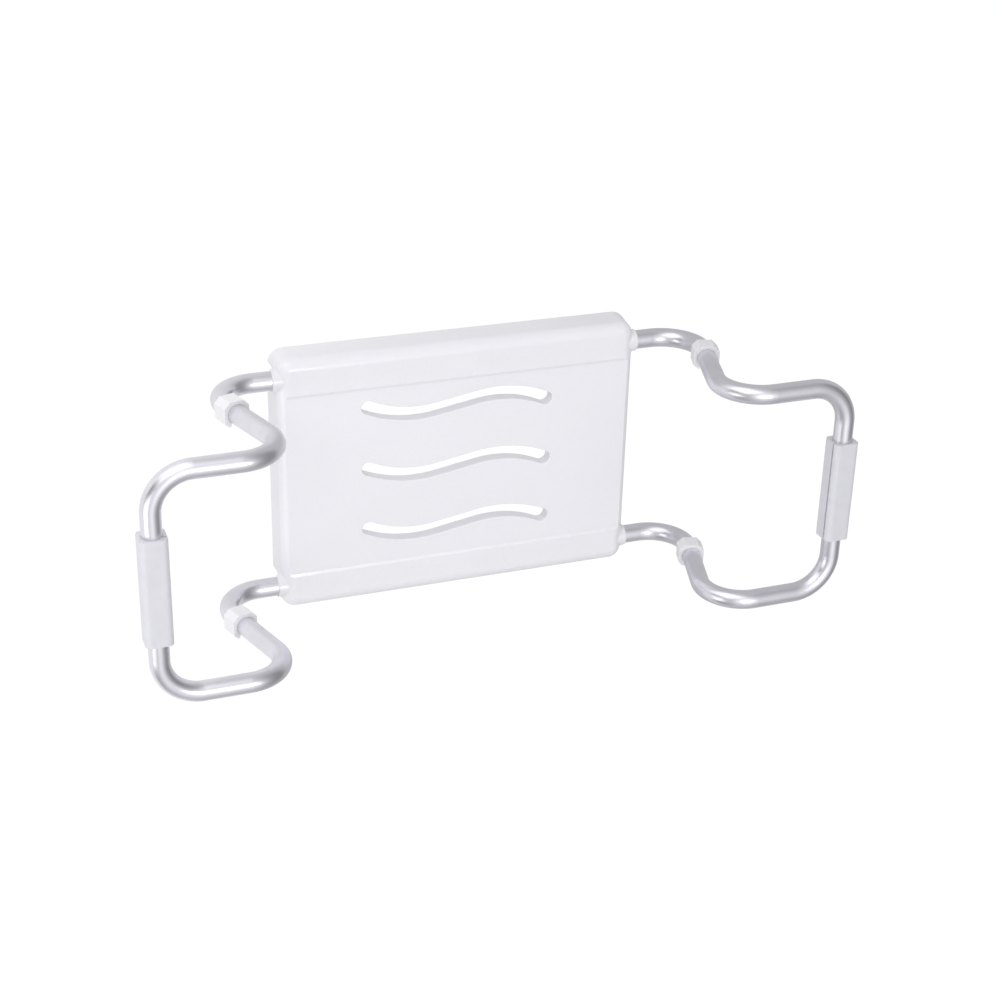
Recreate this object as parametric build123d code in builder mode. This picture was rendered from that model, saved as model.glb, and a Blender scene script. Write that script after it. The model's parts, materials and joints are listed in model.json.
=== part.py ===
from build123d import *
import os
from math import asin, atan2, degrees, hypot, radians, tan

# Bath seat that hangs in a tub between its two rims, adjustable in width.
# Millimetres, +Z up. X runs across the tub, and the user's front is -Y.
# The origin is under the middle of the seat board, level with its lower edge.
# Each tube frame is a U whose legs slide in the board's channels and rise over a rim.

# Seat board
seat_length = 395
seat_margin = 26.15
seat_skin_over_legs = 2.7
seat_corner = 17
seat_draft = 6
seat_roll = 12
seat_skin = 4
seat_wall = 3
valley_depth = 1
valley_slope = 3
rib_thickness = 2
rib_depth = 12
rib_clearance = 1.5

# Tube frames
tube_diameter = 20
tube_wall = 1.5
bend_radius = 40
leg_spacing = 233.7
leg_inside = 180
knee_reach = 75
rim_rise = 181
drop_lean = 55
rim_reach = 140

# Wave slots in the seat
slot_width = 14.5
slot_round = 1
slot_rib_distance = 21.85
slot_centre = (-3, 4.5)
crest_reach = 44
crest_height = 5.7
crest_radius = 125
crest_tail = 54
collar_depth = 14
collar_wall = 2

# Channels, hoods and clamps for the legs
slide_gap = 0.3
hood_wall = 1.4
hood_length = 23
hood_proud = 2
hood_round = 0.8
hood_blend = 2.5
notch_flare = 3
cradle_thickness = 3
strip_margin = 4
cradle_stations = (60, 118, 182)
strap_station = 150
strap_width = 26
strap_thickness = 3
strap_overhang = 4.2
strap_round = 3
strap_boss_diameter = 14
strap_boss_depth = 2.2
screw_leg_distance = 4.5
screw_diameter = 3.2
screw_head_diameter = 6.4
screw_head_depth = 1.8
screw_length = 9
screw_boss_diameter = 8
screw_play = 0.05
drive_length = 3.8
drive_width = 0.9

# Lock screws
stud_diameter = 5
stud_play = 0.05
insert_diameter = 7
insert_depth = 4.6
knob_diameter = 20
knob_height = 5
knob_lobes = 6
knob_scallop = 2.9
knob_edge = 0.6
knob_grip = 3.5
knob_gap = 0.4
knob_floor_gap = 1.1
tip_gap = 0.3

# Leg plugs, rim sleeves and bumper clips
plug_depth = 15
plug_head = 3
plug_play = 0.1
plug_wall = 2
sleeve_length = 110
sleeve_wall = 3.5
sleeve_corner = 6
sleeve_play = 0.15
slit_height = 5.5
slit_width = 2.4
clip_station = 66
clip_length = 20
clip_wall = 3.5
clip_corner = 6
clip_lip = 2
clip_hold = 7
clip_play = 0.1

sides = (("left", -1), ("right", 1))
ends = (("front", -1), ("rear", 1))

tube_radius = tube_diameter / 2
channel_radius = tube_radius + slide_gap
sleeve_size = tube_diameter + 2 * sleeve_wall
clip_size = tube_diameter + 2 * clip_wall
clip_mouth = tube_diameter - clip_hold
leg_y = leg_spacing / 2
leg_height = knob_floor_gap + knob_height + knob_gap + strap_boss_depth + strap_thickness + channel_radius
seat_depth = leg_spacing + 2 * seat_margin
seat_height = leg_height + channel_radius + seat_skin_over_legs
seat_end = seat_length / 2
hood_face = seat_end + hood_proud
hood_radius = channel_radius + hood_wall
leg_end = seat_end - leg_inside
knee_x = seat_end + knee_reach
elbow_x = knee_x - drop_lean
bar_x = elbow_x + rim_reach
bar_z = leg_height + rim_rise
sitting_face = seat_height - valley_depth
skin_underside = seat_height - seat_skin
screw_offset = channel_radius + screw_leg_distance
strap_reach = screw_offset + strap_overhang
channel_reach = strap_reach + rib_clearance
valley_edge = leg_y - channel_radius - strip_margin
rib_edge = leg_y - channel_reach - rib_thickness / 2
slot_pitch = rib_edge - slot_rib_distance - slot_centre[1]
strap_bottom = leg_height - channel_radius - strap_thickness
boss_bottom = strap_bottom - strap_boss_depth
knob_top = boss_bottom - knob_gap
stud_tip = leg_height - tube_radius - tip_gap

os.makedirs("parts", exist_ok=True)


def save(name, part):
    part.label = name
    export_step(part, f"parts/{name}.step")


def screw_places():
    return [
        (side * strap_station, end * leg_y + offset)
        for side_name, side in sides
        for end_name, end in ends
        for offset in (-screw_offset, screw_offset)
    ]


def cradle_places():
    return [
        (side * station, end * leg_y)
        for station in cradle_stations
        for side_name, side in sides
        for end_name, end in ends
    ]


def wave_line():
    # A gentle S: a straight middle that runs into one round crest and one round dip
    drop = crest_radius - crest_height
    tangent_reach = (crest_reach**2 + drop**2 - crest_radius**2) ** 0.5
    lean = degrees(asin(crest_radius / hypot(crest_reach, drop)) - atan2(drop, crest_reach))
    turn = lean + degrees(asin(crest_tail / crest_radius))
    with BuildLine() as wave:
        to_crest = PolarLine((0, 0), tangent_reach, lean)
        JernArc(to_crest @ 1, to_crest % 1, crest_radius, -turn)
        to_dip = PolarLine((0, 0), tangent_reach, lean + 180)
        JernArc(to_dip @ 1, to_dip % 1, crest_radius, -turn)
    return wave.wires()[0]


def seat_hollow(wave, slot_places):
    # The space under the skin, with the ribs, slot collars, leg cradles and bosses left out of it
    rib_bottom = skin_underside - rib_depth
    with BuildPart() as hollow:
        with BuildSketch():
            RectangleRounded(seat_length, seat_depth, seat_corner)
            offset(amount=-seat_wall)
        extrude(amount=skin_underside, taper=seat_draft)
        fillet(hollow.faces().sort_by(Axis.Z)[-1].edges(), seat_roll - seat_wall)
        with BuildSketch(Plane.XY.offset(rib_bottom)):
            with Locations(*[(0, slot_centre[1] + row * slot_pitch) for row in (-0.5, 0.5)]):
                Rectangle(seat_length, rib_thickness)
            with Locations((0, -rib_edge), (0, rib_edge)):
                Rectangle(seat_length, rib_thickness)
            with Locations((-strap_station, 0), (0, 0), (strap_station, 0)):
                Rectangle(rib_thickness, 2 * rib_edge)
        extrude(amount=rib_depth, mode=Mode.SUBTRACT)
        with BuildSketch(Plane.XY.offset(sitting_face - collar_depth)):
            with Locations(*slot_places):
                SlotArc(wave, slot_width + 2 * collar_wall)
        extrude(amount=collar_depth, mode=Mode.SUBTRACT)
        with BuildSketch(Plane.XY.offset(leg_height)):
            with Locations(*cradle_places()):
                Rectangle(cradle_thickness, 2 * channel_reach)
            with Locations(*screw_places()):
                Circle(screw_boss_diameter / 2)
        extrude(amount=seat_height - leg_height, mode=Mode.SUBTRACT)
    return hollow.part


def at_hood_root(edge):
    # The curves where a hood comes out of the end wall and the rolled edge
    middle = edge.center()
    from_leg = hypot(abs(middle.Y) - leg_y, middle.Z - leg_height)
    curved = edge.geom_type != GeomType.LINE
    return curved and abs(middle.X) < seat_end and from_leg < hood_radius + hood_wall / 2


def seat_board():
    wave = wave_line()
    slot_places = [(slot_centre[0], slot_centre[1] + row * slot_pitch) for row in (-1, 0, 1)]
    hollow = seat_hollow(wave, slot_places)
    legs = Locations((-leg_y, leg_height), (leg_y, leg_height)).locations
    with BuildPart() as board:
        with BuildSketch():
            RectangleRounded(seat_length, seat_depth, seat_corner)
        extrude(amount=seat_height, taper=seat_draft)
        fillet(board.faces().sort_by(Axis.Z)[-1].edges(), seat_roll)

        # Hoods where the legs leave the end walls
        for side_name, side in sides:
            with BuildSketch(Plane.YZ.offset(side * hood_face)):
                with Locations(*legs):
                    Circle(hood_radius)
            extrude(amount=-side * hood_length)
            root = board.edges(Select.LAST).filter_by(at_hood_root)
            fillet(root, hood_blend)
        fillet(board.faces().filter_by(Axis.X).edges(), hood_round)
        add(hollow, mode=Mode.SUBTRACT)

        # Shallow valley between the two raised strips over the legs
        with BuildSketch(Plane.YZ.offset(-seat_end)):
            Polygon(
                (-valley_edge - valley_slope, seat_height + valley_depth),
                (-valley_edge + valley_slope, sitting_face),
                (valley_edge - valley_slope, sitting_face),
                (valley_edge + valley_slope, seat_height + valley_depth),
                align=None,
            )
        extrude(amount=seat_length, mode=Mode.SUBTRACT)

        # Wave slots, leg channels, the flared notches in the end walls and the screw holes
        with BuildSketch(Plane.XY.offset(seat_height)):
            with Locations(*slot_places):
                SlotArc(wave, slot_width)
        extrude(amount=-seat_height, mode=Mode.SUBTRACT)
        fillet(board.edges(Select.LAST).group_by(Axis.Z)[-1], slot_round)
        with BuildSketch(Plane.YZ.offset(-hood_face)):
            with Locations(*legs):
                Circle(channel_radius)
        extrude(amount=2 * hood_face, mode=Mode.SUBTRACT)
        for side_name, side in sides:
            with BuildSketch(Plane.YZ.offset(side * hood_face)):
                with Locations((-leg_y, 0), (leg_y, 0)):
                    Polygon(
                        (-channel_radius, leg_height),
                        (-channel_radius - notch_flare, 0),
                        (channel_radius + notch_flare, 0),
                        (channel_radius, leg_height),
                        align=None,
                    )
            extrude(amount=-side * hood_length, mode=Mode.SUBTRACT)
        with BuildSketch(Plane.XY.offset(leg_height)):
            with Locations(*screw_places()):
                Circle(screw_diameter / 2 + screw_play)
        extrude(amount=screw_length - strap_thickness + screw_play, mode=Mode.SUBTRACT)
    return board.part


def frame_tube(side):
    # One tube bent six times: leg, rise over the rim, rim bar and the same back again
    half = [(leg_end, leg_height), (knee_x, leg_height), (elbow_x, bar_z), (bar_x, bar_z)]
    front = [Vector(side * x, -leg_y, z) for x, z in half]
    rear = [Vector(side * x, leg_y, z) for x, z in reversed(half)]
    corners = front + rear
    with BuildPart() as tube:
        with BuildLine() as route:
            start = corners[0]
            for before, corner, after in zip(corners, corners[1:], corners[2:]):
                heading = (corner - before).normalized()
                onward = (after - corner).normalized()
                setback = bend_radius * tan(radians(heading.get_angle(onward)) / 2)
                bend_start = corner - heading * setback
                bend_end = corner + onward * setback
                Line(start, bend_start)
                TangentArc(bend_start, bend_end, tangent=heading)
                start = bend_end
            Line(start, corners[-1])
        with BuildSketch(Plane(origin=corners[0], z_dir=corners[1] - corners[0])) as ring:
            Circle(tube_radius)
            Circle(tube_radius - tube_wall, mode=Mode.SUBTRACT)
        sweep(sections=ring.sketch, path=route.wires()[0])
    return tube.part


def leg_plug(side, end):
    inward = Plane(origin=(side * leg_end, end * leg_y, leg_height), z_dir=(-side, 0, 0))
    with BuildPart() as plug:
        with BuildSketch(inward):
            Circle(tube_radius)
        extrude(amount=plug_head)
        fillet(plug.faces().sort_by(Axis.X)[0 if side > 0 else -1].edges(), plug_head / 2)
        with BuildSketch(inward):
            Circle(tube_radius - tube_wall - plug_play)
            Circle(tube_radius - tube_wall - plug_play - plug_wall, mode=Mode.SUBTRACT)
        extrude(amount=-plug_depth)
    return plug.part


def rim_sleeve(side):
    # A split soft sleeve, flat on every side, that stands between the bar and the tub's rim
    with BuildPart() as sleeve:
        with BuildSketch(Plane(origin=(side * bar_x, 0, bar_z), x_dir=(side, 0, 0), z_dir=(0, -side, 0))):
            RectangleRounded(sleeve_size, sleeve_size, sleeve_corner)
            Circle(tube_radius + sleeve_play, mode=Mode.SUBTRACT)
            with Locations((-sleeve_size / 2, slit_height)):
                Rectangle(sleeve_size, slit_width, mode=Mode.SUBTRACT)
        extrude(amount=sleeve_length / 2, both=True)
    return sleeve.part


def bumper_clip(side, end):
    # A snap-on clip on the rising part of the frame, whose flat side meets the tub's wall
    knee = Vector(side * knee_x, end * leg_y, leg_height)
    rise = Vector(-side * drop_lean, 0, rim_rise).normalized()
    outward = Vector(side * rim_rise, 0, drop_lean).normalized()
    place = Plane(origin=knee + rise * clip_station, x_dir=outward, z_dir=rise * side)
    with BuildPart() as clip:
        with BuildSketch(place) as outline:
            Rectangle(clip_size, clip_size)
            chamfer(outline.vertices(), clip_corner)
            with Locations((0, -clip_size / 2)):
                Rectangle(clip_size, 2 * clip_lip, mode=Mode.SUBTRACT)
            Circle(tube_radius + clip_play, mode=Mode.SUBTRACT)
            with Locations((0, -clip_size / 2)):
                Rectangle(clip_mouth, clip_size, mode=Mode.SUBTRACT)
        extrude(amount=clip_length / 2, both=True)
    return clip.part


def clamp_strap(side, end):
    # Saddle under the leg, screwed to two bosses, with a seat for the threaded insert
    centre = (side * strap_station, end * leg_y)
    with BuildPart() as strap:
        with BuildSketch(Plane.YZ.offset(side * strap_station)):
            with Locations((end * leg_y, leg_height)):
                Circle(channel_radius + strap_thickness)
                with Locations((0, -strap_thickness / 2)):
                    Rectangle(2 * strap_reach, strap_thickness)
                Circle(channel_radius, mode=Mode.SUBTRACT)
                Rectangle(
                    4 * channel_radius, 2 * channel_radius,
                    align=(Align.CENTER, Align.MIN), mode=Mode.SUBTRACT,
                )
        extrude(amount=strap_width / 2, both=True)
        fillet(strap.edges().filter_by(Axis.Z), strap_round)
        with BuildSketch(Plane.XY.offset(boss_bottom)):
            with Locations(centre):
                Circle(strap_boss_diameter / 2)
        extrude(amount=strap_boss_depth + strap_thickness / 2)
        with BuildSketch(Plane.XY.offset(boss_bottom)):
            with Locations(centre):
                Circle(insert_diameter / 2)
        extrude(amount=leg_height - boss_bottom, mode=Mode.SUBTRACT)
        for offset in (-screw_offset, screw_offset):
            below = (centre[0], centre[1] + offset, leg_height - strap_thickness)
            with Locations(Plane(origin=below, z_dir=(0, 0, -1))):
                CounterSinkHole(
                    screw_diameter / 2 + screw_play, screw_head_diameter / 2 + screw_play,
                    depth=strap_thickness,
                )
    return strap.part


def strap_screws():
    with BuildPart() as screws:
        for x, y in screw_places():
            head = Plane(origin=(x, y, leg_height - strap_thickness))
            with BuildSketch(head):
                Circle(screw_diameter / 2)
            extrude(amount=screw_length)
            with BuildSketch(head):
                Circle(screw_head_diameter / 2)
            with BuildSketch(head.offset(screw_head_depth)):
                Circle(screw_diameter / 2)
            loft()
            with BuildSketch(head):
                Rectangle(drive_length, drive_width)
                Rectangle(drive_width, drive_length)
            extrude(amount=screw_head_depth / 2, mode=Mode.SUBTRACT)
    return screws.part


def lock_inserts():
    with BuildPart() as inserts:
        with BuildSketch(Plane.XY.offset(boss_bottom)):
            for side_name, side in sides:
                with Locations((side * strap_station, -leg_y), (side * strap_station, leg_y)):
                    Circle(insert_diameter / 2)
                    Circle(stud_diameter / 2 + stud_play, mode=Mode.SUBTRACT)
        extrude(amount=insert_depth)
    return inserts.part


def lock_knob(side, end):
    centre = (side * strap_station, end * leg_y)
    with BuildPart() as knob:
        with BuildSketch(Plane.XY.offset(knob_top - knob_height)):
            with Locations(centre):
                Circle(knob_diameter / 2)
                with PolarLocations(knob_diameter / 2, knob_lobes):
                    Circle(knob_scallop, mode=Mode.SUBTRACT)
        extrude(amount=knob_height)
        fillet(knob.faces().filter_by(Axis.Z).edges(), knob_edge)
        with BuildSketch(Plane.XY.offset(knob_top)):
            with Locations(centre):
                Circle(stud_diameter / 2)
        extrude(amount=-knob_grip, mode=Mode.SUBTRACT)
    return knob.part


def lock_stud(side, end):
    root = knob_top - knob_grip
    with BuildPart() as stud:
        with BuildSketch(Plane.XY.offset(root)):
            with Locations((side * strap_station, end * leg_y)):
                Circle(stud_diameter / 2)
        extrude(amount=stud_tip - root)
        chamfer(stud.faces().sort_by(Axis.Z)[-1].edges(), stud_diameter / 10)
    return stud.part


save("seat_board", seat_board())
save("strap_screws", strap_screws())
save("lock_inserts", lock_inserts())
for side_name, side in sides:
    save(f"{side_name}_frame_tube", frame_tube(side))
    save(f"{side_name}_rim_sleeve", rim_sleeve(side))
    for end_name, end in ends:
        corner = f"{side_name}_{end_name}"
        save(f"{corner}_bumper_clip", bumper_clip(side, end))
        save(f"{corner}_leg_plug", leg_plug(side, end))
        save(f"{corner}_clamp_strap", clamp_strap(side, end))
        save(f"{corner}_lock_knob", lock_knob(side, end))
        save(f"{corner}_lock_stud", lock_stud(side, end))
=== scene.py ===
import json
import math

import bpy
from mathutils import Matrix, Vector

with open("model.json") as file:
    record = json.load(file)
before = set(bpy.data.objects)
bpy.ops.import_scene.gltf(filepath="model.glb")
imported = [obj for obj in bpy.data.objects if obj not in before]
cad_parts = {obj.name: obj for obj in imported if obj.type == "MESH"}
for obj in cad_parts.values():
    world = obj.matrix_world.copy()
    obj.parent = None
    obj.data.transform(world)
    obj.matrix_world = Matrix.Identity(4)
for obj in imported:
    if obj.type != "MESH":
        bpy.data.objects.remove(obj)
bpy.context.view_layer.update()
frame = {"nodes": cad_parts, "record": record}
print("frame loaded,", len(frame["nodes"]), "pieces")

mm = 0.001


def newMaterial(name):
    mat = bpy.data.materials.new(name)
    mat.use_nodes = True
    tree = mat.node_tree
    return mat, tree, tree.nodes["Principled BSDF"]


def addNode(tree, kind, **settings):
    # A setting goes to the socket of that name, or else to the node itself
    node = tree.nodes.new(kind)
    for key, value in settings.items():
        if key in node.inputs:
            node.inputs[key].default_value = value
        else:
            setattr(node, key, value)
    return node


def setSockets(node, values):
    for socket, value in values.items():
        node.inputs[socket].default_value = value


def objectCoords(tree, stretch=(1, 1, 1)):
    coords = addNode(tree, "ShaderNodeTexCoord")
    mapping = addNode(tree, "ShaderNodeMapping", Scale=stretch)
    tree.links.new(coords.outputs["Object"], mapping.inputs["Vector"])
    return mapping.outputs["Vector"]


def noise(tree, vector, scale, detail, rough):
    tex = addNode(tree, "ShaderNodeTexNoise", Scale=scale, Detail=detail, Roughness=rough)
    tree.links.new(vector, tex.inputs["Vector"])
    return tex.outputs["Fac"]


def spread(tree, value, low, high, fromLow=0.0, fromHigh=1.0):
    # Stretches fromLow to fromHigh over low to high, and holds the ends
    node = addNode(tree, "ShaderNodeMapRange")
    setSockets(node, {"From Min": fromLow, "From Max": fromHigh, "To Min": low, "To Max": high})
    tree.links.new(value, node.inputs["Value"])
    return node.outputs["Result"]


def scaleAndAdd(tree, value, factor, other):
    node = addNode(tree, "ShaderNodeMath", operation="MULTIPLY_ADD")
    node.inputs[1].default_value = factor
    tree.links.new(value, node.inputs[0])
    tree.links.new(other, node.inputs[2])
    return node.outputs["Value"]


def blendColors(tree, factor, first, second):
    # Each colour is a tuple or another node's output
    node = addNode(tree, "ShaderNodeMix", data_type="RGBA")
    for socket, color in ((node.inputs[6], first), (node.inputs[7], second)):  # colours A and B
        if isinstance(color, tuple):
            socket.default_value = (*color, 1)
        else:
            tree.links.new(color, socket)
    tree.links.new(factor, node.inputs[0])
    return node.outputs[2]  # the colour result


def bump(tree, shader, height, strength, distance):
    node = addNode(tree, "ShaderNodeBump", Strength=strength, Distance=distance)
    tree.links.new(height, node.inputs["Height"])
    tree.links.new(node.outputs["Normal"], shader.inputs["Normal"])


plasticLook = {
    "seat": dict(color=(0.90, 0.892, 0.94), shade=0.965, rough=0.315, coat=0.5,
                 peel=330, grain=1500),
    "clip": dict(color=(0.91, 0.91, 0.945), shade=0.96, rough=0.33, coat=0.15,
                 peel=420, grain=1900),
    "plug": dict(color=(0.70, 0.70, 0.72), shade=0.93, rough=0.50, coat=0.0,
                 peel=500, grain=2200),
    "strap": dict(color=(0.80, 0.80, 0.82), shade=0.95, rough=0.46, coat=0.0,
                  peel=480, grain=2000),
    "knob": dict(color=(0.76, 0.76, 0.79), shade=0.94, rough=0.42, coat=0.05,
                 peel=460, grain=2100),
}
plasticSkin = dict(  # alike on every moulded piece
    mottle=9, peelInTone=1.2, toneRange=(0.5, 1.7),
    rougher=0.05, smoother=0.03, roughRange=(0.1, 0.9),
    grainInRelief=0.2, bump=(0.08, 0.0002),  # strength, metres
    sockets={
        "IOR": 1.49, "Coat Roughness": 0.1,
        "Subsurface Weight": 0.25, "Subsurface Radius": (1.0, 0.95, 0.95),
        "Subsurface Scale": 0.003,
    },
)


def mouldedPlastic(name, look, skin):
    # Slow flow mottling, shallow orange peel and a fine spark texture
    mat, tree, shader = newMaterial(name)
    place = objectCoords(tree)
    mottle = noise(tree, place, skin["mottle"], detail=2, rough=0.4)
    peel = noise(tree, place, look["peel"], detail=1, rough=0.4)
    grain = noise(tree, place, look["grain"], detail=2, rough=0.6)
    fleck = scaleAndAdd(tree, peel, skin["peelInTone"], mottle)
    darker = tuple(c * look["shade"] for c in look["color"])
    tone = blendColors(tree, spread(tree, fleck, 0, 1, *skin["toneRange"]), look["color"], darker)
    tree.links.new(tone, shader.inputs["Base Color"])
    rough = spread(tree, mottle, look["rough"] + skin["rougher"], look["rough"] - skin["smoother"],
                   *skin["roughRange"])
    tree.links.new(rough, shader.inputs["Roughness"])
    setSockets(shader, {"Coat Weight": look["coat"], **skin["sockets"]})
    bump(tree, shader, scaleAndAdd(tree, grain, skin["grainInRelief"], peel), *skin["bump"])
    return mat


vinylLook = dict(
    color=(0.745, 0.745, 0.79), darker=(0.715, 0.715, 0.76), rough=(0.52, 0.64),
    dimples=90, dimpleRange=(0.3, 0.7), pores=1500, poresInRelief=0.35,
    bump=(0.25, 0.00025),  # strength, metres
    sockets={
        "Subsurface Weight": 0.2, "Subsurface Radius": (1.0, 0.9, 0.9),
        "Subsurface Scale": 0.003,
    },
)


def softVinyl(look):
    # Plasticised vinyl: almost matt, with shallow dimples and tiny pores
    mat, tree, shader = newMaterial("softVinyl")
    place = objectCoords(tree)
    dimples = noise(tree, place, look["dimples"], detail=2, rough=0.5)
    pores = addNode(tree, "ShaderNodeTexVoronoi", Scale=look["pores"])
    tree.links.new(place, pores.inputs["Vector"])
    tone = blendColors(tree, spread(tree, dimples, 0, 1, *look["dimpleRange"]),
                       look["color"], look["darker"])
    tree.links.new(tone, shader.inputs["Base Color"])
    tree.links.new(spread(tree, dimples, *look["rough"]), shader.inputs["Roughness"])
    setSockets(shader, look["sockets"])
    relief = scaleAndAdd(tree, pores.outputs["Distance"], look["poresInRelief"], dimples)
    bump(tree, shader, relief, *look["bump"])
    return mat


tubeLook = dict(
    color=(0.82, 0.806, 0.862), cloudy=(0.75, 0.737, 0.795), rough=(0.28, 0.36),
    cloud=35, cloudRange=(0.3, 0.7), grain=1100,
    bump=(0.02, 0.0001),  # strength, metres
)


def anodisedTube(look):
    # Satin anodised tube: cloudiness in the oxide over a very fine etched grain
    mat, tree, shader = newMaterial("anodisedTube")
    place = objectCoords(tree)
    cloud = noise(tree, place, look["cloud"], detail=5, rough=0.6)
    grain = noise(tree, place, look["grain"], detail=4, rough=0.65)
    tone = blendColors(tree, spread(tree, cloud, 0, 1, *look["cloudRange"]),
                       look["color"], look["cloudy"])
    tree.links.new(tone, shader.inputs["Base Color"])
    shader.inputs["Metallic"].default_value = 1
    rough = spread(tree, cloud, *look["rough"], *look["cloudRange"])
    tree.links.new(rough, shader.inputs["Roughness"])
    bump(tree, shader, grain, *look["bump"])
    return mat


metalLook = {
    "screw": dict(color=(0.62, 0.62, 0.64), rough=0.28),
    "stud": dict(color=(0.60, 0.60, 0.62), rough=0.30),
    "insert": dict(color=(0.72, 0.55, 0.26), rough=0.28),
}
metalSkin = dict(  # alike on every turned piece
    shade=0.82, smear=220, smoother=0.06, rougher=0.1,
    turning=2600, stretch=(1, 1, 6), bump=(0.1, 0.00005),  # strength, metres
)


def turnedMetal(name, look, skin):
    # A handled, slightly smeared surface over fine marks left by turning
    mat, tree, shader = newMaterial(name)
    smear = noise(tree, objectCoords(tree), skin["smear"], detail=4, rough=0.6)
    darker = tuple(c * skin["shade"] for c in look["color"])
    tree.links.new(blendColors(tree, smear, look["color"], darker), shader.inputs["Base Color"])
    shader.inputs["Metallic"].default_value = 1
    rough = spread(tree, smear, look["rough"] - skin["smoother"], look["rough"] + skin["rougher"])
    tree.links.new(rough, shader.inputs["Roughness"])
    marks = noise(tree, objectCoords(tree, skin["stretch"]), skin["turning"], detail=2, rough=0.5)
    bump(tree, shader, marks, *skin["bump"])
    return mat


materials = {
    "seat_plastic": mouldedPlastic("seatPlastic", plasticLook["seat"], plasticSkin),
    "clip_plastic": mouldedPlastic("clipPlastic", plasticLook["clip"], plasticSkin),
    "plug_plastic": mouldedPlastic("plugPlastic", plasticLook["plug"], plasticSkin),
    "strap_plastic": mouldedPlastic("strapPlastic", plasticLook["strap"], plasticSkin),
    "knob_plastic": mouldedPlastic("knobPlastic", plasticLook["knob"], plasticSkin),
    "sleeve_vinyl": softVinyl(vinylLook),
    "tube_aluminium": anodisedTube(tubeLook),
    "screw_steel": turnedMetal("screwSteel", metalLook["screw"], metalSkin),
    "stud_steel": turnedMetal("studSteel", metalLook["stud"], metalSkin),
    "insert_brass": turnedMetal("insertBrass", metalLook["insert"], metalSkin),
}
slotOf = {p["node"]: p["material_slot"] for p in frame["record"]["subparts"]}
for node, obj in frame["nodes"].items():
    obj.data.materials.clear()
    obj.data.materials.append(materials[slotOf[node]])
print("materials made:", len(materials))


edgeLook = dict(
    widths={"bumper_clip": 0.7, "rim_sleeve": 1.0, "clamp_strap": 0.4, "lock_knob": 0.3},  # mm
    steps=3, sharperThan=40,  # degrees
)
for node, obj in frame["nodes"].items():
    for ending, width in edgeLook["widths"].items():
        if node.endswith(ending):
            soften = obj.modifiers.new("softEdges", "BEVEL")
            soften.width = width * mm
            soften.segments = edgeLook["steps"]
            soften.angle_limit = math.radians(edgeLook["sharperThan"])
print("edges softened")


floorLook = dict(
    half=40.0, glow=1.02, bounce=0.92,
    soft=(1.1, 0.68), softFade=(-0.3, 0.35),  # left and right tone, and where it changes
    mirror=(1.05, 0.62), mirrorFade=(-0.34, -0.08),
)


def plainFloor(look):
    # Looks evenly white itself, and sends less light up on the side away from the key light
    half = look["half"]
    corners = [(-half, -half, 0), (half, -half, 0), (half, half, 0), (-half, half, 0)]
    mesh = bpy.data.meshes.new("floor")
    mesh.from_pydata(corners, [], [(0, 1, 2, 3)])
    floor = bpy.data.objects.new("floor", mesh)
    bpy.context.scene.collection.objects.link(floor)
    mat, tree = newMaterial("floorPaper")[:2]
    split = addNode(tree, "ShaderNodeSeparateXYZ")
    tree.links.new(objectCoords(tree), split.inputs["Vector"])
    path = addNode(tree, "ShaderNodeLightPath")
    tones = []
    for kind in ("soft", "mirror"):
        fade = spread(tree, split.outputs["X"], 0, 1, *look[kind + "Fade"])
        tones.append(blendColors(tree, fade, *((level,) * 3 for level in look[kind])))
    bounce = addNode(tree, "ShaderNodeEmission", Strength=look["bounce"])
    tone = blendColors(tree, path.outputs["Is Glossy Ray"], *tones)
    tree.links.new(tone, bounce.inputs["Color"])
    glow = addNode(tree, "ShaderNodeEmission", Strength=look["glow"])
    mix = addNode(tree, "ShaderNodeMixShader")
    tree.links.new(path.outputs["Is Camera Ray"], mix.inputs["Fac"])
    tree.links.new(bounce.outputs["Emission"], mix.inputs[1])
    tree.links.new(glow.outputs["Emission"], mix.inputs[2])
    tree.links.new(mix.outputs["Shader"], tree.nodes["Material Output"].inputs["Surface"])
    mesh.materials.append(mat)


lampLook = {
    "key": dict(at=(-1.35, -0.3, 0.75), size=0.9, power=3.9),
    "rim": dict(at=(-1.0, 1.8, 1.0), size=2.2, power=16),
    "top": dict(at=(0.15, 0.05, 2.2), size=0.4, power=6.2),
}
lampAim = (0, 0, 0.1)


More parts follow.
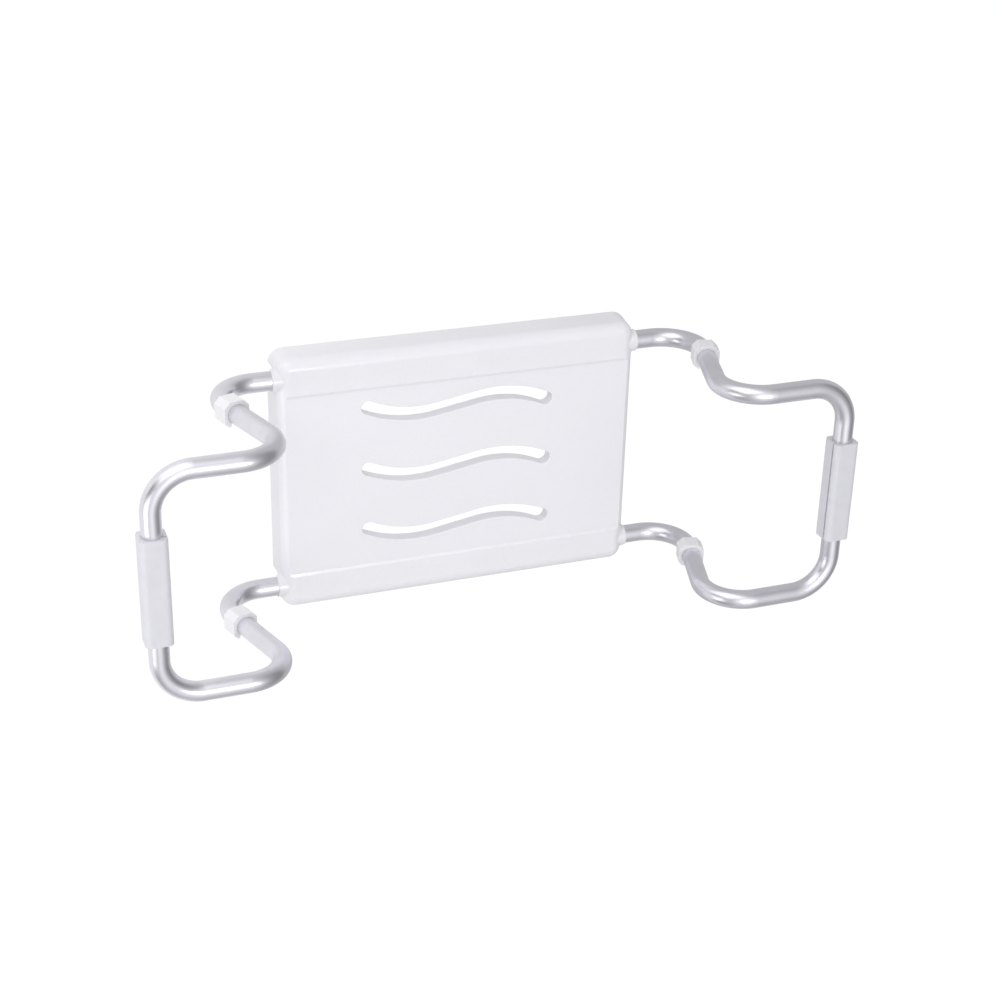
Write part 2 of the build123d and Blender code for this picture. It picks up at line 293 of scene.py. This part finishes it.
def softbox(name, look):
    lamp = bpy.data.lights.new(name, "AREA")
    lamp.shape = "SQUARE"
    lamp.size = look["size"]
    lamp.energy = look["power"]
    obj = bpy.data.objects.new(name, lamp)
    bpy.context.scene.collection.objects.link(obj)
    obj.location = look["at"]
    obj.rotation_euler = (Vector(lampAim) - obj.location).to_track_quat("-Z", "Y").to_euler()


roomLook = dict(
    zenith=1.1, walls=0.58, wallTop=0.5,
    sideFall=(1.04, 0.45), sideRange=(0.1, 0.9),  # middle and side level, and where it changes
)


def roomLight(look):
    # A pale room: a bright ceiling that falls off to both sides, over greyer walls
    world = bpy.data.worlds.new("studioWorld")
    world.use_nodes = True
    tree = world.node_tree
    coords = addNode(tree, "ShaderNodeTexCoord")
    split = addNode(tree, "ShaderNodeSeparateXYZ")
    tree.links.new(coords.outputs["Generated"], split.inputs["Vector"])
    level = spread(tree, split.outputs["Z"], look["walls"], look["zenith"], look["wallTop"], 1.0)
    aside = addNode(tree, "ShaderNodeMath", operation="ABSOLUTE")
    tree.links.new(split.outputs["X"], aside.inputs[0])
    fall = spread(tree, aside.outputs["Value"], *look["sideFall"], *look["sideRange"])
    both = addNode(tree, "ShaderNodeMath", operation="MULTIPLY")
    tree.links.new(level, both.inputs[0])
    tree.links.new(fall, both.inputs[1])
    background = tree.nodes["Background"]
    tree.links.new(both.outputs["Value"], background.inputs["Strength"])
    background.inputs["Color"].default_value = (1, 1, 1, 1)
    bpy.context.scene.world = world


plainFloor(floorLook)
for name, look in lampLook.items():
    softbox(name, look)
roomLight(roomLook)
bpy.context.scene.view_settings.view_transform = "Standard"

cameraLook = dict(
    at=(-0.60725, 0.82802, 1.72010), turn=(-26.3475, -20.4939, 1.4988),  # metres, degrees
    lens=67.03,
)
camera = bpy.data.objects.new("camera", bpy.data.cameras.new("camera"))
camera.data.lens = cameraLook["lens"]
camera.location = cameraLook["at"]
camera.rotation_euler = [math.radians(a) for a in cameraLook["turn"]]
bpy.context.scene.collection.objects.link(camera)
bpy.context.scene.camera = camera
print("studio ready")
